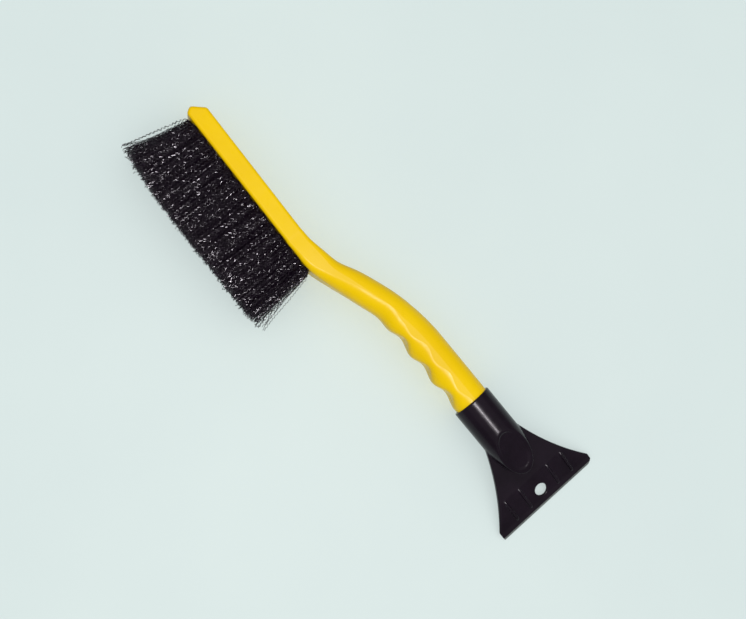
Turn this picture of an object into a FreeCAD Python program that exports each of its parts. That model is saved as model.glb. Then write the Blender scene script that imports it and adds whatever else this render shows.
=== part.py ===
"""Snow brush with an ice scraper head, lying on its side.

Three kinds of piece hold the tool together. A one-piece moulded body is brush block, neck and
finger grip. A moulded scraper head is snapped over the spigot at the body's end. Bristle tufts
sit in blind holes in the block, each folded under a flat metal anchor.

Work frame while modelling: X runs along the handle from the brush's nose to the cutting edge,
+Y is the back, -Y is the bristle side, and Z = 0 is the handle's axis. At the end everything
moves so that the origin is the middle of the footprint, on the surface the tool lies on.
"""

import FreeCAD, Part
import math
import os

from FreeCAD import Vector

# Brush block: a straight bar whose line leans a little to the back of the handle's axis
BLOCK_HALF_HEIGHT = 20.0
BLOCK_THICKNESS = 15.0
BLOCK_LEAN_DEG = -1.9
BLOCK_MIDDLE_Y = -22.9          # middle of the bar at X = 0
BLOCK_STRAIGHT_END = 118.0      # the neck's blend starts here
BLOCK_EDGE_RADIUS = 2.5
NOSE_REACH = 5.6                # the nose's point, ahead of X = 0
NOSE_POINT_ACROSS = -2.4
NOSE_BACK_CUT = 8.4             # how far the slanted nose face runs back along the bar
NOSE_FRONT_CUT = 3.4
NOSE_RADIUS = 3.0

# Tufts: staggered rows of blind holes across the block's bristle face
TUFT_COLUMNS = 14
TUFT_PITCH = 10.4
TUFT_FIRST_X = 4.4
TUFT_ROW_HEIGHTS = (-13.5, -4.5, 4.5, 13.5)
TUFT_HOLE_RADIUS = 2.4
TUFT_HOLE_DEPTH = 9.5
TUFT_FREE_LENGTH = 56.6
TUFT_TIP_HALF_X = 4.9
TUFT_TIP_HALF_Z = 4.7
TUFT_ROW_SPREAD = 1.11          # the tips' rows stand this much wider than the roots' rows
TUFT_FAN_NOSE = 6.5             # the first tufts' tips lean out this far
TUFT_FAN_NECK = 1.5             # and the last tufts' tips this far
TUFT_FAN_POWER = 3.0

# Anchors: flat wire driven across the fold of each tuft, into the sides of its hole
ANCHOR_LENGTH = 6.2
ANCHOR_HEIGHT = 1.6
ANCHOR_THICKNESS = 0.45
ANCHOR_LIFT = 1.2               # above the hole's floor

# Finger grip
GRIP_RADIUS = 14.9
GRIP_FIRST_BUMP = 223.0
GRIP_PITCH = 28.5
GRIP_BUMPS = 4
GRIP_DEPTH = 4.2
GRIP_SHOULDER = 3.4             # the top stays flat this much longer over a hollow
GRIP_FLAT = 1.2                 # half of the narrow flats between the section's round corners
SECTIONS_PER_PITCH = 8
BACK_LEVEL_X = 255.0            # the back edge is level beyond this and a parabola before it
BACK_DROP = 2.9                 # that parabola's drop over BACK_DROP_RUN
BACK_DROP_RUN = 32.0
CORE_RADIUS = 7.0
CORE_START = 224.0

# Spigot and socket
SLEEVE_START = 311.5
MOUTH_SLANT_DEG = 8.0           # the mouth's top stands this much further back
MOUTH_ROOM = 3.0                # more than the slant takes at the sleeve's outside
SLEEVE_RADIUS = 17.0
SLEEVE_END = 349.0
SPIGOT_RADIUS = 13.8
SPIGOT_LENGTH = 30.0
SOCKET_RADIUS = 14.0
SOCKET_DEPTH = 31.0
BEAD_X = 331.0
BEAD_HEIGHT = 0.6
BEAD_HALF_WIDTH = 1.6
CRUSH_RIBS = 8
CRUSH_RIB_WIDTH = 1.6

# Scraper plate: tilted down from the end of the sleeve to the surface
EDGE_X = 425.0
PLATE_TILT_DEG = 13.8
PLATE_HALF_WIDTH = 50.0
PLATE_ROOT_HALF_WIDTH = 16.6
PLATE_SIDE_LENGTH = 9.0         # straight side behind the cutting edge
PLATE_FLARE_SAG = 3.2           # how far the flare's arc hollows in from its chord
PLATE_ROOT_THICKNESS = 4.4
PLATE_LIP_THICKNESS = 2.3       # ahead of the ribs
PLATE_OVERLAP = 6.0             # how far the plate's root runs back inside the nose
EDGE_THICKNESS = 0.9
BEVEL_LENGTH = 2.9
CORNER_CUT = 4.0                # one corner of the cutting edge is cut off
RIB_SPACING = 15.4
RIB_WIDTH = 2.0
RIB_REAR_FROM_EDGE = 31.5
RIB_FRONT_FROM_EDGE = 7.5
RIB_RISE = 1.2                  # above the plate's thick part
RIB_REAR_RAMP = 3.6             # the rib rises to its full height over this length
RIB_FRONT_SLOPE = 1.8           # how far the steep front leans back over its height
HANG_HOLE_RADIUS = 5.5
HANG_HOLE_FROM_EDGE = 14.6

# Nose and thumb facet over the root of the plate. The facet is a slanted flat with a raised rim.
NOSE_BODY_LENGTH = 39.0
SEAM_TURN_DEG = 180.0           # keeps the turned surface's seam away from the facet
FACET_TILT_DEG = 21.0
FACET_START_X = 342.6
PAD_START = 2.3                 # along the slope
PAD_HALF_LENGTH = 20.2
PAD_HALF_WIDTH = 10.8
PAD_DEPTH = 0.7

BEYOND = 60.0                   # spare size of a cutting shape past what it cuts


def along_block(distance, across, height=0.0):
    """A point in the work frame from a distance along the block and across it."""
    lean = math.radians(BLOCK_LEAN_DEG)
    x = distance * math.cos(lean) - across * math.sin(lean)
    y = BLOCK_MIDDLE_Y + distance * math.sin(lean) + across * math.cos(lean)
    return Vector(x, y, height)


def quarter_arc(centre_y, centre_z, radius, start_deg):
    """A quarter circle in the plane X = 0, from start_deg anticlockwise."""
    points = []
    for angle_deg in (start_deg, start_deg + 45, start_deg + 90):
        angle = math.radians(angle_deg)
        y = centre_y + radius * math.cos(angle)
        z = centre_z + radius * math.sin(angle)
        points.append(Vector(0, y, z))
    return Part.Arc(*points).toShape(), points[0], points[2]


def section(back, front, half_height, back_radius, front_radius):
    """A closed outline in the plane X = 0: four straight sides and four round corners."""
    top_back = quarter_arc(back - back_radius, half_height - back_radius, back_radius, 0)
    top_front = quarter_arc(front + front_radius, half_height - front_radius, front_radius, 90)
    low_front = quarter_arc(front + front_radius, front_radius - half_height, front_radius, 180)
    low_back = quarter_arc(back - back_radius, back_radius - half_height, back_radius, 270)
    corners = (top_back, top_front, low_front, low_back)
    edges = []
    for index, corner in enumerate(corners):
        following = corners[(index + 1) % len(corners)]
        edges.append(corner[0])
        edges.append(Part.makeLine(corner[2], following[1]))
    return Part.Wire(edges)


def brush_block():
    """The straight bar with its slanted nose, all its edges rounded except at the neck."""
    half = BLOCK_THICKNESS / 2
    outline = (
        along_block(BLOCK_STRAIGHT_END, half),
        along_block(NOSE_BACK_CUT - NOSE_REACH, half),
        along_block(-NOSE_REACH, NOSE_POINT_ACROSS),
        along_block(NOSE_FRONT_CUT - NOSE_REACH, -half),
        along_block(BLOCK_STRAIGHT_END, -half),
    )
    lowered = [Vector(point.x, point.y, -BLOCK_HALF_HEIGHT) for point in outline]
    wire = Part.makePolygon(lowered + lowered[:1])
    bar = Part.Face(wire).extrude(Vector(0, 0, 2 * BLOCK_HALF_HEIGHT))
    ends = [edge for edge in bar.Edges if abs(edge.CenterOfMass.z) < 1 and edge.CenterOfMass.x < 20]
    bar = bar.makeFillet(NOSE_RADIUS, ends)
    joint_point = along_block(BLOCK_STRAIGHT_END, 0)
    joint_normal = along_block(BLOCK_STRAIGHT_END + 1, 0) - joint_point
    rounded = []
    for edge in bar.Edges:
        offset = (edge.CenterOfMass - joint_point).dot(joint_normal)
        level = abs(edge.CenterOfMass.z) > BLOCK_HALF_HEIGHT - 0.01
        if offset < -0.01 and level:
            rounded.append(edge)
    return bar.makeFillet(BLOCK_EDGE_RADIUS, rounded)


def back_edge(x):
    """Y of the back edge along the neck and the grip."""
    if x >= BACK_LEVEL_X:
        return GRIP_RADIUS
    return GRIP_RADIUS - BACK_DROP * ((BACK_LEVEL_X - x) / BACK_DROP_RUN) ** 2


def hollow_share(x):
    """0 on each bump of the finger side, 1 in the middle of each hollow."""
    phase = 2 * math.pi * (x - GRIP_FIRST_BUMP) / GRIP_PITCH
    return (1 - math.cos(phase)) / 2


def neck_sections():
    """Outlines from the block's end to the first bump: X, back, front, half height, radius."""
    stations = (
        (126.0, -19.0, -34.7, 19.95, 2.8),
        (136.0, -17.5, -35.0, 19.8, 3.6),
        (146.0, -15.4, -34.8, 19.4, 5.0),
        (156.0, back_edge(156.0), -32.6, 18.8, 7.0),
        (168.0, back_edge(168.0), -29.0, 17.6, 9.4),
        (184.0, back_edge(184.0), -23.7, 16.2, 11.4),
        (200.0, back_edge(200.0), -18.6, 15.4, 12.0),
        (212.0, back_edge(212.0), -15.2, 15.0, 12.2),
    )
    half = BLOCK_THICKNESS / 2
    first = section(half, -half, BLOCK_HALF_HEIGHT, BLOCK_EDGE_RADIUS, BLOCK_EDGE_RADIUS)
    first.rotate(Vector(0, 0, 0), Vector(0, 0, 1), BLOCK_LEAN_DEG)
    first.translate(along_block(BLOCK_STRAIGHT_END, 0))
    wires = [first]
    for x, back, front, half_height, radius in stations:
        wire = section(back, front, half_height, radius, radius)
        wire.translate(Vector(x, 0, 0))
        wires.append(wire)
    return wires


def grip_sections():
    """Outlines along the finger grip, from its first bump to its last."""
    wires = []
    steps = (GRIP_BUMPS - 1) * SECTIONS_PER_PITCH
    for step in range(steps + 1):
        x = GRIP_FIRST_BUMP + step * GRIP_PITCH / SECTIONS_PER_PITCH
        back = back_edge(x)
        front = GRIP_DEPTH * hollow_share(x) - GRIP_RADIUS
        middle = min(0.0, back - GRIP_RADIUS)
        back_radius = back - middle - GRIP_FLAT
        front_radius = min(middle - front, GRIP_RADIUS) - GRIP_FLAT
        front_radius -= GRIP_SHOULDER * hollow_share(x)
        wire = section(back, front, GRIP_RADIUS, back_radius, front_radius)
        wire.translate(Vector(x, 0, 0))
        wires.append(wire)
    round_radius = GRIP_RADIUS - GRIP_FLAT
    last = section(GRIP_RADIUS, -GRIP_RADIUS, GRIP_RADIUS, round_radius, round_radius)
    last.translate(Vector(SLEEVE_START + MOUTH_ROOM, 0, 0))
    return wires + [last]


def ahead_of_mouth():
    """A block that fills everything ahead of the socket's slanted mouth."""
    block = Part.makeBox(3 * BEYOND, 2 * BEYOND, 2 * BEYOND, Vector(0, -BEYOND, -BEYOND))
    block.rotate(Vector(0, 0, 0), Vector(0, 1, 0), -MOUTH_SLANT_DEG)
    block.translate(Vector(SLEEVE_START, 0, 0))
    return block


def cylinder_x(radius, start, end):
    """A cylinder on the handle's axis."""
    return Part.makeCylinder(radius, end - start, Vector(start, 0, 0), Vector(1, 0, 0))


def snap_bead(radius, height):
    """The ring on the spigot that snaps into the socket's groove, with sloping flanks."""
    profile = Part.makePolygon([
        Vector(BEAD_X - BEAD_HALF_WIDTH, 0, radius - 1),
        Vector(BEAD_X - BEAD_HALF_WIDTH, 0, radius),
        Vector(BEAD_X - BEAD_HALF_WIDTH / 2, 0, radius + height),
        Vector(BEAD_X, 0, radius + height),
        Vector(BEAD_X + BEAD_HALF_WIDTH, 0, radius),
        Vector(BEAD_X + BEAD_HALF_WIDTH, 0, radius - 1),
        Vector(BEAD_X - BEAD_HALF_WIDTH, 0, radius - 1),
    ])
    return Part.Face(profile).revolve(Vector(0, 0, 0), Vector(1, 0, 0), 360)


def spigot():
    """The reduced end of the handle, with its snap bead and crush ribs."""
    end = SLEEVE_START + SPIGOT_LENGTH
    start = SLEEVE_START - MOUTH_ROOM
    shape = cylinder_x(SPIGOT_RADIUS, start, end)
    shape = shape.fuse(snap_bead(SPIGOT_RADIUS, BEAD_HEIGHT))
    for index in range(CRUSH_RIBS):
        rib = Part.makeBox(
            SPIGOT_LENGTH - 4,
            CRUSH_RIB_WIDTH,
            SOCKET_RADIUS - 1,
            Vector(SLEEVE_START, -CRUSH_RIB_WIDTH / 2, 0),
        )
        rib.rotate(Vector(0, 0, 0), Vector(1, 0, 0), index * 360 / CRUSH_RIBS)
        shape = shape.fuse(rib)
    return shape.common(cylinder_x(SOCKET_RADIUS + BEAD_HEIGHT, start, end))


def tuft_places():
    """Row, column, root point on the bristle face, and tip point of every tuft."""
    face = -BLOCK_THICKNESS / 2
    half_run = TUFT_PITCH * (TUFT_COLUMNS - 0.5) / 2
    places = []
    for row, height in enumerate(TUFT_ROW_HEIGHTS):
        stagger = TUFT_PITCH / 2 * (row % 2)
        for column in range(TUFT_COLUMNS):
            distance = TUFT_FIRST_X + stagger + column * TUFT_PITCH
            share = (distance - TUFT_FIRST_X) / half_run - 1
            fan = TUFT_FAN_NOSE if share < 0 else TUFT_FAN_NECK
            lean = fan * math.copysign(abs(share) ** TUFT_FAN_POWER, share)
            reach_out = math.sqrt(TUFT_FREE_LENGTH ** 2 - lean ** 2)
            root = along_block(distance, face, height)
            tip = along_block(distance + lean, face - reach_out, height * TUFT_ROW_SPREAD)
            places.append((row, column, root, tip))
    return places


def block_normal():
    """The direction the bristles point in."""
    return along_block(0, -1) - along_block(0, 0)


def tuft_hole(root):
    """The blind hole under a root point, run on a little past the face to cut cleanly."""
    bottom = root - block_normal() * TUFT_HOLE_DEPTH
    return Part.makeCylinder(TUFT_HOLE_RADIUS, TUFT_HOLE_DEPTH + 3, bottom, block_normal())


def anchor(root):
    """One flat wire anchor, lying along the block near the bottom of its hole."""
    blade = Part.makeBox(ANCHOR_LENGTH, ANCHOR_HEIGHT, ANCHOR_THICKNESS)
    blade.translate(Vector(-ANCHOR_LENGTH / 2, 0, -ANCHOR_THICKNESS / 2))
    blade.rotate(Vector(0, 0, 0), Vector(0, 0, 1), BLOCK_LEAN_DEG)
    depth = TUFT_HOLE_DEPTH - ANCHOR_LIFT
    blade.translate(root - block_normal() * depth - Vector(0, ANCHOR_HEIGHT, 0))
    return blade


def tuft(root, tip):
    """A bundle of bristles: round in its hole, then opening to an oval at the tips."""
    normal = block_normal()
    stem = Part.makeCylinder(
        TUFT_HOLE_RADIUS, TUFT_HOLE_DEPTH, root - normal * TUFT_HOLE_DEPTH, normal
    )
    mouth = Part.Circle(root, normal, TUFT_HOLE_RADIUS).toShape()
    oval = Part.Ellipse(Vector(0, 0, 0), TUFT_TIP_HALF_X, TUFT_TIP_HALF_Z).toShape()
    oval.rotate(Vector(0, 0, 0), Vector(1, 0, 0), 90)
    oval.rotate(Vector(0, 0, 0), Vector(0, 0, 1), BLOCK_LEAN_DEG)
    oval.translate(tip)
    brush = Part.makeLoft([Part.Wire(mouth), Part.Wire(oval)], True, True)
    return stem.fuse(brush).removeSplitter()


def body(places, anchors):
    """Brush block, neck and grip in one moulding, with the tuft holes and the handle's core."""
    grip = Part.makeLoft(neck_sections() + grip_sections(), True, False)
    shape = brush_block().fuse([grip.cut(ahead_of_mouth()), spigot()])
    core_end = SLEEVE_START + SPIGOT_LENGTH
    shape = shape.cut(cylinder_x(CORE_RADIUS, CORE_START, core_end + 1))
    holes = [tuft_hole(place[2]) for place in places]
    return shape.cut(holes + anchors).removeSplitter()


def on_plate(shape):
    """Moves a shape from the plate's own frame, root at the origin, to its tilted place."""
    tilt = math.radians(PLATE_TILT_DEG)
    half = PLATE_ROOT_THICKNESS / 2
    root_height = plate_length() * math.sin(tilt) + half * math.cos(tilt) - BLOCK_HALF_HEIGHT
    moved = shape.copy()
    moved.rotate(Vector(0, 0, 0), Vector(0, 1, 0), PLATE_TILT_DEG)
    moved.translate(Vector(SLEEVE_END, 0, root_height))
    return moved


def plate_length():
    """The plate's length along itself, from the end of the sleeve to the cutting edge."""
    return (EDGE_X - SLEEVE_END) / math.cos(math.radians(PLATE_TILT_DEG))


def mirrored(point):
    """The same point on the plate's other half."""
    return Vector(point.x, -point.y, point.z)


def plate_outline():
    """The flared plate seen square on, as a face through its middle."""
    length = plate_length()
    start = Vector(0, PLATE_ROOT_HALF_WIDTH, 0)
    shoulder = Vector(length - PLATE_SIDE_LENGTH, PLATE_HALF_WIDTH, 0)
    chord = shoulder - start
    inward = Vector(chord.y, -chord.x, 0).normalize()
    waist = (start + shoulder) / 2 + inward * PLATE_FLARE_SAG
    cut_side = Vector(length - CORNER_CUT, PLATE_HALF_WIDTH, 0)
    cut_edge = Vector(length, PLATE_HALF_WIDTH - CORNER_CUT, 0)
    square_corner = Vector(length, -PLATE_HALF_WIDTH, 0)
    root_back = Vector(-PLATE_OVERLAP, PLATE_ROOT_HALF_WIDTH - 2, 0)
    edges = [
        Part.makeLine(root_back, start),
        Part.Arc(start, waist, shoulder).toShape(),
        Part.makeLine(shoulder, cut_side),
        Part.makeLine(cut_side, cut_edge),
        Part.makeLine(cut_edge, square_corner),
        Part.makeLine(square_corner, mirrored(shoulder)),
        Part.Arc(mirrored(shoulder), mirrored(waist), mirrored(start)).toShape(),
        Part.makeLine(mirrored(start), mirrored(root_back)),
        Part.makeLine(mirrored(root_back), root_back),
    ]
    return Part.Face(Part.Wire(edges))


def side_profile(points):
    """A slab as wide as the plate whose side view is the given outline."""
    corners = [Vector(x, -PLATE_HALF_WIDTH - 1, z) for x, z in points]
    face = Part.Face(Part.makePolygon(corners + corners[:1]))
    return face.extrude(Vector(0, 2 * PLATE_HALF_WIDTH + 2, 0))


def plate():
    """The flared plate: thick at the root, thinner past the ribs, bevelled to its edge."""
    length = plate_length()
    half = PLATE_ROOT_THICKNESS / 2
    lip = PLATE_LIP_THICKNESS - half
    profile = (
        (-PLATE_OVERLAP, -half),
        (length, -half),
        (length, EDGE_THICKNESS - half),
        (length - BEVEL_LENGTH, lip),
        (length - RIB_FRONT_FROM_EDGE, lip),
        (length - RIB_REAR_FROM_EDGE, half),
        (-PLATE_OVERLAP, half),
    )
    slab = plate_outline()
    slab.translate(Vector(0, 0, -PLATE_ROOT_THICKNESS))
    return slab.extrude(Vector(0, 0, 2 * PLATE_ROOT_THICKNESS)).common(side_profile(profile))


def ice_rib(y):
    """One ice breaker rib: a short ramp, a level top over the falling plate, a steep front."""
    length = plate_length()
    top = PLATE_ROOT_THICKNESS / 2 + RIB_RISE
    rear = length - RIB_REAR_FROM_EDGE
    front = length - RIB_FRONT_FROM_EDGE
    side = y - RIB_WIDTH / 2
    corners = [
        Vector(rear, side, 0),
        Vector(rear, side, top - RIB_RISE),
        Vector(rear + RIB_REAR_RAMP, side, top),
        Vector(front - RIB_FRONT_SLOPE, side, top),
        Vector(front, side, 0),
    ]
    face = Part.Face(Part.makePolygon(corners + corners[:1]))
    return face.extrude(Vector(0, RIB_WIDTH, 0))


def sleeve_and_nose():
    """The socket's sleeve with its slanted mouth, running on into the bullet over the plate."""
    start = SLEEVE_START - MOUTH_ROOM
    tip = Vector(SLEEVE_END + NOSE_BODY_LENGTH, 0, 0)
    shoulder = Vector(SLEEVE_END, 0, SLEEVE_RADIUS)
    curve = Part.Ellipse(tip, shoulder, Vector(SLEEVE_END, 0, 0))
    edges = [
        Part.makeLine(Vector(start, 0, 0), Vector(start, 0, SLEEVE_RADIUS)),
        Part.makeLine(Vector(start, 0, SLEEVE_RADIUS), shoulder),
        curve.toShape(0, math.pi / 2),
        Part.makeLine(tip, Vector(start, 0, 0)),
    ]
    profile = Part.Face(Part.Wire(Part.__sortEdges__(edges)))
    bullet = profile.revolve(Vector(0, 0, 0), Vector(1, 0, 0), 360)
    bullet.rotate(Vector(0, 0, 0), Vector(1, 0, 0), SEAM_TURN_DEG)
    return bullet.common(ahead_of_mouth())


def on_facet(shape):
    """Moves a shape from the facet's own frame, its upper end at the origin, to its place."""
    moved = shape.copy()
    moved.rotate(Vector(0, 0, 0), Vector(0, 1, 0), FACET_TILT_DEG)
    moved.translate(Vector(FACET_START_X, 0, SLEEVE_RADIUS))
    return moved


def facet_cut():
    """What the thumb facet takes away: everything over the slope, and the shallow pad in it."""
    over = Part.makeBox(2 * BEYOND, 2 * BEYOND, BEYOND, Vector(0, -BEYOND, 0))
    middle = Vector(PAD_START + PAD_HALF_LENGTH, 0, 0)
    oval = Part.Ellipse(middle, PAD_HALF_LENGTH, PAD_HALF_WIDTH)
    pad = Part.Face(Part.Wire(oval.toShape())).extrude(Vector(0, 0, PAD_DEPTH + 1))
    pad.translate(Vector(0, 0, -PAD_DEPTH))
    return on_facet(over.fuse(pad))


def scraper_head():
    """Socket, nose with its thumb facet, plate, ribs and hang hole in one moulding."""
    length = plate_length()
    shape = sleeve_and_nose().fuse(on_plate(plate())).cut(facet_cut())
    for step in (-2, -1, 1, 2):
        shape = shape.fuse(on_plate(ice_rib(step * RIB_SPACING)))
    socket_start = SLEEVE_START - MOUTH_ROOM - 1
    socket = cylinder_x(SOCKET_RADIUS, socket_start, SLEEVE_START + SOCKET_DEPTH)
    hole_foot = Vector(length - HANG_HOLE_FROM_EDGE, 0, -BEYOND / 2)
    hole = Part.makeCylinder(HANG_HOLE_RADIUS, BEYOND, hole_foot, Vector(0, 0, 1))
    return shape.cut([socket, snap_bead(SOCKET_RADIUS, BEAD_HEIGHT), on_plate(hole)])


def all_shapes():
    """Every piece of the tool by name, in the work frame."""
    places = tuft_places()
    anchors = [anchor(place[2]) for place in places]
    shapes = {"brush_body": body(places, anchors), "scraper_head": scraper_head()}
    shapes["tuft_anchors"] = Part.makeCompound(anchors)
    for (row, column, root, tip), wire in zip(places, anchors):
        name = "tuft_row%d_%02d" % (row + 1, column + 1)
        shapes[name] = tuft(root, tip).cut(wire)
    return shapes


def footprint_shift(shapes):
    """The move that puts the origin in the middle of the footprint, on the surface."""
    box = Part.makeCompound(list(shapes.values())).optimalBoundingBox(False, False)
    return Vector(-(box.XMin + box.XMax) / 2, -(box.YMin + box.YMax) / 2, -box.ZMin)


def main():
    shapes = all_shapes()
    shift = footprint_shift(shapes)
    os.makedirs("parts", exist_ok=True)
    for name, shape in shapes.items():
        shape.translate(shift)
        shape.exportStep("parts/%s.step" % name)
    print("pieces", len(shapes), "shift", shift)


main()
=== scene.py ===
"""Looks for the snow brush scraper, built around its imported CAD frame. Units are metres.

The tool lies on its side: X runs along the handle to the cutting edge, -Y is the way the bristles
point and Z is up. The moulded body and the tuft anchors keep their CAD meshes. The scraper head is a
bevelled and remeshed copy of its node, so that its moulded edges are rounded, and each tuft becomes
a bundle of crimped bristles.
"""

import math

import bmesh
import bpy
import numpy as np
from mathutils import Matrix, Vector


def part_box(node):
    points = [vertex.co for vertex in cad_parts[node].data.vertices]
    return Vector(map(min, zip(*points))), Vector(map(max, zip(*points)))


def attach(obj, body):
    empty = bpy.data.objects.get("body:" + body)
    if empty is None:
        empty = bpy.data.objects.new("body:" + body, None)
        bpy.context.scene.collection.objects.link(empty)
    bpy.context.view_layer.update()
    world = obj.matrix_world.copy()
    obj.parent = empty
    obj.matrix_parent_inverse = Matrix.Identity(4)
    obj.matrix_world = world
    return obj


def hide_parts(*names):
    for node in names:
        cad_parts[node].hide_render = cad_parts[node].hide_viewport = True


MM = 0.001
UP = np.array([0.0, 0.0, 1.0])

# The brush block leans a little off the handle's line, and the bristles stand square to it
BLOCK_LEAN = math.radians(-1.9)
ALONG_BLOCK = np.array([math.cos(BLOCK_LEAN), math.sin(BLOCK_LEAN), 0.0])
BRISTLE_WAY = np.array([math.sin(BLOCK_LEAN), -math.cos(BLOCK_LEAN), 0.0])
HOLE_DEPTH = 9.5 * MM
HOLE_RADIUS = 2.4 * MM
HANDLE_HEIGHT = 20.0 * MM
END_SLICE = 0.3 * MM            # a tuft's mouth and tips are read from this much of its two ends

# Bristles: square filament in a zigzag crimp that lies mostly level, as the flat sides do
BRISTLES_PER_TUFT = 88
FIRST_SEED = 1000               # the first tuft's random seed, and one more for each next tuft
BRISTLE_RADIUS = 0.25 * MM
BRISTLE_SIDES = 4
KINK_STEP = 1.6 * MM            # from one kink of the crimp to the next
KINK_HEIGHT = 0.58 * MM
KINK_STEP_SPREAD = 0.13         # how unequal the steps and heights of one bristle's kinks are
KINK_HEIGHT_SPREAD = 0.35
CRIMP_TILT = 0.7                # how far from level the crimp's plane lies, in radians
ROLL = 0.38                     # how far from level a flat side lies, from bristle to bristle
TWIST = 0.20                    # and from kink to kink
WANDER = 1.8 * MM
SWINGS = (3, 8)                 # least and most turn of the wander's wave along a bristle, radians
ROOT_SHARE = 0.88               # how much of the hole's radius the roots fill
ROOT_START = -0.03              # the centre lines begin this share of the length inside the hole
ROOT_STIFFNESS = 10             # the crimp has its full height a tenth of the length up
SPREAD = 8.4 * MM               # how far from the tuft's line its bristles stand at the tips
SPREAD_CHANGE = 0.15            # how much that differs between bristles
TURN_CHANGE = 0.8               # and how far round from its root a tip may head, in radians
LEAN_CHANGE = 0.25
OPENING = 0.25                  # under 1, so that a tuft opens soon after it leaves its hole
BOW = 1.8                       # leaning bristles curve away more towards their tips
TRIM = -0.8 * MM                # mean length against the CAD tuft
NOSE_TRIM = 0.5                 # the leaning nose tufts are cut shorter by this share of the lean
RAGGED = 1.2 * MM
LONGEST = 2.4 * MM              # past the CAD tuft
STRAY_SHARE = 0.04
STRAY_SPREAD = 1.4
STRAY_LENGTHS = (-3.0, 1.5)     # added to a stray's length, in mm
END_STRAYS = 4.0                # times more strays at the brush's two ends
STRAY_REACH = 8.0 * MM          # and how far they bend outwards there
END_POWER = 7                   # keeps those to the last two or three tufts
LEVEL_ROOM = 16.5 * MM          # above and below the handle's level; past it the crowd packs
PACK_ROOM = 2.8 * MM

# The head's moulded edges: its sharp edges are bevelled, then the whole is remeshed and relaxed
MOULD_RADIUS = 0.60 * MM
BEVEL_SEGMENTS = 3
SHARP_ANGLE = math.radians(25)
FLAT_ANGLE = math.radians(0.1)  # faces that differ by less are joined before the bevel
WELD = 0.05 * MM
HEAD_VOXEL = 0.52 * MM
RELAX_FACTOR = 0.5
RELAX_STEPS = 10

# The painted highlight on the bevel behind the cutting edge: that strip is painted a lighter grey,
# where the bevel catches the light
HIGHLIGHT_START = 2.9 * MM
HIGHLIGHT_FULL = 2.3 * MM

# Sockets of a colour Mix node, whose names are shared by its other data types
MIX_FACTOR = 0
MIX_FIRST = 6
MIX_SECOND = 7
MIX_RESULT = 2

# The floor lies just under the tool, so that the two never share a plane
FLOOR_HALF = 12.0
FLOOR_LEVEL = -0.2 * MM

# A small high key draws the highlights and casts no shadow. A wide dome over the tool casts the
# soft shadow, and a dim sky fills it.
KEY_WAY = (-0.19, 0.07, -1.0)
KEY_WIDTH = math.radians(9.0)
KEY_STRENGTH = 2.15
DOME_WAY = (0.0, 0.0, -1.0)
DOME_WIDTH = math.radians(110.0)
DOME_STRENGTH = 0.62
SKY_COLOUR = (1.0, 1.0, 1.0, 1.0)
SKY_STRENGTH = 0.28

# The camera hangs nearly overhead, turned so that the tool runs down to the right. It is placed
# from the cutting edge and from the handle's line.
CAMERA_BEHIND_EDGE = 0.3083
CAMERA_ACROSS = -0.1176
CAMERA_HEIGHT = 0.8021
CAMERA_TURN = math.radians(49.92)
CAMERA_TILT = math.radians(9.815)
CAMERA_LENS = 48.26
SENSOR_WIDTH = 36.0


def new_material(name):
    """A new node material, its tree and its Principled shader."""
    material = bpy.data.materials.new(name)
    material.use_nodes = True
    tree = material.node_tree
    return material, tree, tree.nodes["Principled BSDF"]


def add_noise(tree, scale, detail=3.0, roughness=0.55):
    """A noise texture laid out in the object's own metres."""
    where = tree.nodes.new("ShaderNodeTexCoord")
    noise = tree.nodes.new("ShaderNodeTexNoise")
    noise.inputs["Scale"].default_value = scale
    noise.inputs["Detail"].default_value = detail
    noise.inputs["Roughness"].default_value = roughness
    tree.links.new(where.outputs["Object"], noise.inputs["Vector"])
    return noise


def add_ramp(tree, source, stops):
    """A colour ramp over a value. stops are (position, colour)."""
    ramp = tree.nodes.new("ShaderNodeValToRGB")
    elements = ramp.color_ramp.elements
    while len(elements) < len(stops):
        elements.new(0.5)
    for element, (position, colour) in zip(elements, stops):
        element.position = position
        element.color = (*colour, 1.0)
    tree.links.new(source, ramp.inputs["Fac"])
    return ramp


def add_range(tree, source, low, high, from_low=0.3, from_high=0.7):
    """Maps a noise value onto a range."""
    span = tree.nodes.new("ShaderNodeMapRange")
    span.inputs["From Min"].default_value = from_low
    span.inputs["From Max"].default_value = from_high
    span.inputs["To Min"].default_value = low
    span.inputs["To Max"].default_value = high
    tree.links.new(source, span.inputs["Value"])
    return span.outputs["Result"]


def add_bump(tree, shader, source, distance, strength, below=None):
    """A bump layer. below is the normal of the layer under it."""
    bump = tree.nodes.new("ShaderNodeBump")
    bump.inputs["Distance"].default_value = distance
    bump.inputs["Strength"].default_value = strength
    tree.links.new(source, bump.inputs["Height"])
    if below is not None:
        tree.links.new(below, bump.inputs["Normal"])
    tree.links.new(bump.outputs["Normal"], shader.inputs["Normal"])
    return bump.outputs["Normal"]


def yellow_plastic():
    """Moulded yellow polypropylene: soft gloss, faint flow streaks and fine orange peel."""
    material, tree, shader = new_material("yellow_plastic")
    flow = add_noise(tree, 22.0, 4.0)
    colour = add_ramp(tree, flow.outputs["Fac"], (
        (0.30, (0.780, 0.500, 0.0003)),
        (0.70, (0.820, 0.545, 0.0008)),
    ))
    tree.links.new(colour.outputs["Color"], shader.inputs["Base Color"])
    smear = add_noise(tree, 160.0, 5.0)
    rough = add_range(tree, smear.outputs["Fac"], 0.26, 0.34)
    tree.links.new(rough, shader.inputs["Roughness"])
    peel = add_noise(tree, 900.0, 2.0)
    ripple = add_noise(tree, 60.0, 2.0)
    below = add_bump(tree, shader, peel.outputs["Fac"], 0.00004, 0.35)
    add_bump(tree, shader, ripple.outputs["Fac"], 0.0004, 0.15, below)
    shader.inputs["IOR"].default_value = 1.49
    shader.inputs["Specular IOR Level"].default_value = 0.13
    return material


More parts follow.
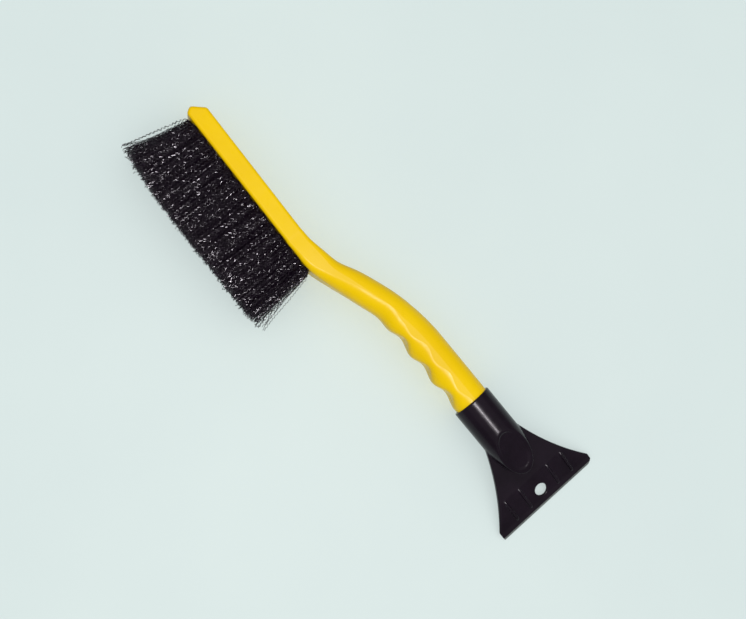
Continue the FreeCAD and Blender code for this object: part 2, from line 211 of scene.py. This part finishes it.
def bevel_highlight_mask(tree, edge_x):
    """1 on the bevel behind the cutting edge, where a painted highlight goes, and 0 on the rest,
    fading between the two.
    """
    where = tree.nodes.new("ShaderNodeTexCoord")
    parts = tree.nodes.new("ShaderNodeSeparateXYZ")
    tree.links.new(where.outputs["Object"], parts.inputs["Vector"])
    return add_range(tree, parts.outputs["X"], 0.0, 1.0, edge_x - HIGHLIGHT_START, edge_x - HIGHLIGHT_FULL)


def black_plastic(edge_x):
    """Moulded black plastic: semi gloss, fine grain, light scuffs and a painted highlight on the
    bevel behind the cutting edge.
    """
    material, tree, shader = new_material("black_plastic")
    cloud = add_noise(tree, 45.0, 4.0)
    colour = add_ramp(tree, cloud.outputs["Fac"], (
        (0.30, (0.0040, 0.0018, 0.0048)),
        (0.72, (0.0085, 0.0045, 0.0095)),
    ))
    # Painted highlight: the bevel behind the cutting edge gets a lighter, mottled grey colour that
    # stands in for the light it catches
    highlight_mottle = add_noise(tree, 420.0, 5.0, 0.7)
    lit_bevel_colour = add_ramp(tree, highlight_mottle.outputs["Fac"], (
        (0.30, (0.045, 0.052, 0.050)),
        (0.70, (0.150, 0.165, 0.155)),
    ))
    mix = tree.nodes.new("ShaderNodeMix")
    mix.data_type = "RGBA"
    tree.links.new(bevel_highlight_mask(tree, edge_x), mix.inputs[MIX_FACTOR])
    tree.links.new(colour.outputs["Color"], mix.inputs[MIX_FIRST])
    tree.links.new(lit_bevel_colour.outputs["Color"], mix.inputs[MIX_SECOND])
    tree.links.new(mix.outputs[MIX_RESULT], shader.inputs["Base Color"])
    scuff = add_noise(tree, 240.0, 6.0, 0.65)
    rough = add_range(tree, scuff.outputs["Fac"], 0.18, 0.28)
    tree.links.new(rough, shader.inputs["Roughness"])
    grain = add_noise(tree, 1500.0, 2.0)
    add_bump(tree, shader, grain.outputs["Fac"], 0.00004, 0.4)
    shader.inputs["IOR"].default_value = 1.5
    shader.inputs["Specular IOR Level"].default_value = 0.18
    shader.inputs["Specular Tint"].default_value = (1.0, 0.95, 1.0, 1.0)
    return material


def bristle_plastic():
    """Black polypropylene filament, glossy enough for each crimp to catch the light."""
    material, tree, shader = new_material("bristle_plastic")
    tint = add_noise(tree, 380.0, 2.0)
    colour = add_ramp(tree, tint.outputs["Fac"], (
        (0.35, (0.0030, 0.0012, 0.0036)),
        (0.70, (0.0085, 0.0042, 0.0100)),
    ))
    tree.links.new(colour.outputs["Color"], shader.inputs["Base Color"])
    shader.inputs["Roughness"].default_value = 0.17
    shader.inputs["IOR"].default_value = 1.5
    shader.inputs["Specular IOR Level"].default_value = 0.35
    shader.inputs["Specular Tint"].default_value = (1.0, 0.93, 1.0, 1.0)
    return material


def wire_metal():
    """Galvanised flat wire with a dull drawn surface."""
    material, tree, shader = new_material("anchor_wire")
    drawn = add_noise(tree, 2500.0, 3.0)
    rough = add_range(tree, drawn.outputs["Fac"], 0.28, 0.45)
    tree.links.new(rough, shader.inputs["Roughness"])
    shader.inputs["Base Color"].default_value = (0.60, 0.60, 0.58, 1.0)
    shader.inputs["Metallic"].default_value = 1.0
    return material


def floor_paper():
    """The pale, faintly green board under the tool."""
    material, tree, shader = new_material("floor_paper")
    cloud = add_noise(tree, 3.0, 4.0)
    colour = add_ramp(tree, cloud.outputs["Fac"], (
        (0.25, (0.570, 0.660, 0.650)),
        (0.75, (0.605, 0.695, 0.678)),
    ))
    tree.links.new(colour.outputs["Color"], shader.inputs["Base Color"])
    shader.inputs["Roughness"].default_value = 0.6
    return material


def dress(thing, material):
    """Gives an object one material."""
    thing.data.materials.clear()
    thing.data.materials.append(material)


def mesh_object(name, points, faces):
    """A flat-shaded mesh object from lists, linked to the scene."""
    mesh = bpy.data.meshes.new(name)
    mesh.from_pydata(points, [], faces)
    mesh.shade_flat()
    thing = bpy.data.objects.new(name, mesh)
    bpy.context.scene.collection.objects.link(thing)
    return thing


def tuft_ends(node):
    """The middle of a tuft's mouth and of its tips, read from its CAD solid."""
    count = len(node.data.vertices)
    flat = np.empty(count * 3)
    node.data.vertices.foreach_get("co", flat)
    points = flat.reshape(-1, 3)
    reach = points @ BRISTLE_WAY
    bottom = points[reach < reach.min() + END_SLICE]
    tips = points[reach > reach.max() - END_SLICE]
    mouth = (bottom.min(axis=0) + bottom.max(axis=0)) / 2 + BRISTLE_WAY * HOLE_DEPTH
    return mouth, (tips.min(axis=0) + tips.max(axis=0)) / 2


def bristle_lines(mouth, tip, outer, rng):
    """Centre lines of one tuft's bristles, as an array of bristle by kink by XYZ.

    outer is -1 or 1 for a tuft at one end of the brush and near 0 for the others.
    """
    count = BRISTLES_PER_TUFT
    each = (count, 1, 1)
    reach = tip - mouth
    lean = reach @ ALONG_BLOCK
    rise = reach @ UP
    outward = reach @ BRISTLE_WAY
    kinks = int(outward / KINK_STEP) + 2
    share = np.linspace(ROOT_START, 1.0, kinks)[None, :, None]
    grown = np.clip(share, 0, 1)
    loose = np.clip(share * ROOT_STIFFNESS, 0, 1)

    # where each bristle starts in its hole, and where it heads
    angle = rng.uniform(0, 2 * math.pi, each)
    radius = np.sqrt(rng.uniform(0, 1, each))
    heading = angle + rng.normal(0, TURN_CHANGE, each)
    far = radius * (1 + rng.normal(0, SPREAD_CHANGE, each))
    stray = rng.uniform(0, 1, each) < STRAY_SHARE * (1 + END_STRAYS * abs(outer))
    far = np.where(stray, far * STRAY_SPREAD, far)
    bend = lean + outer * STRAY_REACH * stray * rng.uniform(0.1, 1.0, each)
    root_along = HOLE_RADIUS * ROOT_SHARE * radius * np.cos(angle)
    root_up = HOLE_RADIUS * ROOT_SHARE * radius * np.sin(angle)
    tip_along = SPREAD * far * np.cos(heading) + lean * rng.normal(0, LEAN_CHANGE, each)
    tip_up = SPREAD * far * np.sin(heading)
    opened = grown ** OPENING
    along = root_along + (tip_along - root_along) * opened + bend * grown ** BOW
    upward = root_up + (tip_up - root_up) * opened + rise * grown
    length = outward + TRIM + NOSE_TRIM * min(lean, 0) + rng.normal(0, RAGGED, each)
    length = np.minimum(length + stray * rng.uniform(*STRAY_LENGTHS, each) * MM, outward + LONGEST)
    forward = length * share

    # the zigzag lies in one plane per bristle, and a slow wander in another
    plane = rng.normal(0, CRIMP_TILT, each)
    zigzag = np.where(np.arange(kinks) % 2 == 0, 1.0, -1.0)[None, :, None]
    height = KINK_HEIGHT * rng.normal(1, KINK_HEIGHT_SPREAD, (count, kinks, 1)) * loose
    height = height * rng.choice((-1.0, 1.0), each)
    forward = forward + KINK_STEP * rng.normal(0, KINK_STEP_SPREAD, (count, kinks, 1)) * loose
    forward = forward + KINK_STEP * rng.uniform(-0.5, 0.5, each) * loose
    turn = rng.uniform(0, 2 * math.pi, each)
    phase = rng.uniform(0, 2 * math.pi, each)
    swing = rng.normal(0, WANDER, each) * grown * np.sin(grown * rng.uniform(*SWINGS, each) + phase)
    along = along + zigzag * height * np.cos(plane) + swing * np.cos(turn)
    upward = upward + zigzag * height * np.sin(plane) + swing * np.sin(turn)

    lines = mouth + along * ALONG_BLOCK + upward * UP + forward * BRISTLE_WAY
    level = lines[..., 2] - HANDLE_HEIGHT
    excess = np.maximum(np.abs(level) - LEVEL_ROOM, 0)
    packed = LEVEL_ROOM + PACK_ROOM * (1 - np.exp(-excess / PACK_ROOM))
    level = np.where(excess > 0, np.sign(level) * packed, level)
    lines[..., 2] = HANDLE_HEIGHT + level
    return lines


def sweep_tubes(lines, radius, sides, rng):
    """Vertices and faces of closed thin tubes along many centre lines at once."""
    count, steps, _ = lines.shape
    tangent = np.gradient(lines, axis=1)
    tangent /= np.linalg.norm(tangent, axis=2, keepdims=True)
    first = np.cross(tangent, UP)
    first /= np.linalg.norm(first, axis=2, keepdims=True)
    second = np.cross(tangent, first)
    start = math.pi / sides + rng.normal(0, ROLL, (count, 1))
    roll = start + rng.normal(0, TWIST, (count, steps))
    turns = roll[:, :, None] + np.arange(sides) * 2 * math.pi / sides
    across = np.cos(turns)[..., None] * first[:, :, None, :]
    across = across + np.sin(turns)[..., None] * second[:, :, None, :]
    points = lines[:, :, None, :] + across * radius
    base = np.arange(count)[:, None, None] * steps * sides
    step = np.arange(steps - 1)[None, :, None] * sides
    side = np.arange(sides)[None, None, :]
    following = (side + 1) % sides
    quads = np.stack((
        base + step + side,
        base + step + following,
        base + step + sides + following,
        base + step + sides + side,
    ), axis=-1).reshape(-1, 4)
    first_cap = base[:, :, 0] + np.arange(sides)[::-1][None, :]
    last_cap = base[:, :, 0] + (steps - 1) * sides + np.arange(sides)[None, :]
    faces = np.concatenate((quads, first_cap, last_cap))
    return points.reshape(-1, 3), faces


def build_tufts(frame, material):
    """Every tuft as a bundle of separate bristles in place of its CAD solid."""
    names = sorted(name for name in frame["nodes"] if name.startswith("tuft_row"))
    ends = [tuft_ends(frame["nodes"][name]) for name in names]
    distances = [float(mouth @ ALONG_BLOCK) for mouth, _ in ends]
    middle = (min(distances) + max(distances)) / 2
    half = max(distances) - middle
    for index, name in enumerate(names):
        rng = np.random.default_rng(FIRST_SEED + index)
        mouth, tip = ends[index]
        outer = ((distances[index] - middle) / half) ** END_POWER
        lines = bristle_lines(mouth, tip, outer, rng)
        points, faces = sweep_tubes(lines, BRISTLE_RADIUS, BRISTLE_SIDES, rng)
        new_name = name.replace("tuft", "bristles")
        bundle = mesh_object(new_name, points.tolist(), faces.tolist())
        dress(bundle, material)
        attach(bundle, "root")
        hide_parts(name)


def merge_flats(mesh):
    """Welds a CAD mesh's faces together and joins the ones that lie in one plane."""
    shape = bmesh.new()
    shape.from_mesh(mesh)
    bmesh.ops.remove_doubles(shape, verts=shape.verts, dist=WELD)
    bmesh.ops.dissolve_limit(shape, angle_limit=FLAT_ANGLE, verts=shape.verts, edges=shape.edges)
    shape.to_mesh(mesh)
    shape.free()


def round_copy(node, name):
    """A copy of a CAD mesh whose edges are bevelled, then remeshed and relaxed to a soft radius."""
    copy = bpy.data.objects.new(name, node.data.copy())
    bpy.context.scene.collection.objects.link(copy)
    merge_flats(copy.data)
    bevel = copy.modifiers.new("bevel", "BEVEL")
    bevel.limit_method = "ANGLE"
    bevel.angle_limit = SHARP_ANGLE
    bevel.width = MOULD_RADIUS
    bevel.segments = BEVEL_SEGMENTS
    bevel.use_clamp_overlap = False
    remesh = copy.modifiers.new("remesh", "REMESH")
    remesh.mode = "VOXEL"
    remesh.voxel_size = HEAD_VOXEL
    remesh.use_smooth_shade = True
    relax = copy.modifiers.new("relax", "SMOOTH")
    relax.factor = RELAX_FACTOR
    relax.iterations = RELAX_STEPS
    graph = bpy.context.evaluated_depsgraph_get()
    mesh = bpy.data.meshes.new_from_object(copy.evaluated_get(graph))
    copy.modifiers.clear()
    copy.data = mesh
    mesh.shade_smooth()
    return copy


def build_head(frame, material):
    """The scraper head, shown as a copy with rounded edges in place of its CAD mesh."""
    head = round_copy(frame["nodes"]["scraper_head"], "scraper_head_moulding")
    dress(head, material)
    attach(head, "root")
    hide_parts("scraper_head")


def build_floor():
    """A wide pale board that isn't part of the object."""
    sides = ((-1, -1), (1, -1), (1, 1), (-1, 1))
    corners = [(x * FLOOR_HALF, y * FLOOR_HALF, FLOOR_LEVEL) for x, y in sides]
    floor = mesh_object("floor", corners, [(0, 1, 2, 3)])
    dress(floor, floor_paper())


def add_sun(name, way, width, strength):
    """A sun lamp that shines along a direction, as wide in the sky as the given angle."""
    lamp = bpy.data.lights.new(name, "SUN")
    lamp.angle = width
    lamp.energy = strength
    thing = bpy.data.objects.new(name, lamp)
    bpy.context.scene.collection.objects.link(thing)
    thing.rotation_euler = Vector(way).to_track_quat("-Z", "Y").to_euler()
    return lamp


def build_lights():
    """An overhead key for the highlights, a wide soft dome over it and a dim sky."""
    key = add_sun("key", KEY_WAY, KEY_WIDTH, KEY_STRENGTH)
    key.use_shadow = False
    add_sun("dome", DOME_WAY, DOME_WIDTH, DOME_STRENGTH)
    world = bpy.data.worlds.new("sky")
    world.use_nodes = True
    background = world.node_tree.nodes["Background"]
    background.inputs["Color"].default_value = SKY_COLOUR
    background.inputs["Strength"].default_value = SKY_STRENGTH
    bpy.context.scene.world = world
    bpy.context.scene.view_settings.view_transform = "Standard"


def build_camera():
    """The camera, placed from the cutting edge and the handle's line."""
    low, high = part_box("scraper_head")
    lens = bpy.data.cameras.new("camera")
    lens.lens = CAMERA_LENS
    lens.sensor_width = SENSOR_WIDTH
    camera = bpy.data.objects.new("camera", lens)
    bpy.context.scene.collection.objects.link(camera)
    across = (low[1] + high[1]) / 2 + CAMERA_ACROSS
    camera.location = (high[0] - CAMERA_BEHIND_EDGE, across, CAMERA_HEIGHT)
    camera.rotation_euler = (0, -CAMERA_TILT, CAMERA_TURN)
    bpy.context.scene.camera = camera


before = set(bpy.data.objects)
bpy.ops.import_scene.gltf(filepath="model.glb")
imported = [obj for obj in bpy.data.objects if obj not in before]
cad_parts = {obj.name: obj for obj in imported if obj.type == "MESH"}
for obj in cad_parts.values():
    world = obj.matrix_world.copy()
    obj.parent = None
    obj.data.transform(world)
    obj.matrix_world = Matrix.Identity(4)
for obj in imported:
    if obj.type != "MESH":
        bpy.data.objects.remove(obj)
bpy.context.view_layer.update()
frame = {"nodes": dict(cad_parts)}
build_camera()
build_floor()
build_lights()
dress(frame["nodes"]["brush_body"], yellow_plastic())
dress(frame["nodes"]["tuft_anchors"], wire_metal())
build_head(frame, black_plastic(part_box("scraper_head")[1][0]))
build_tufts(frame, bristle_plastic())
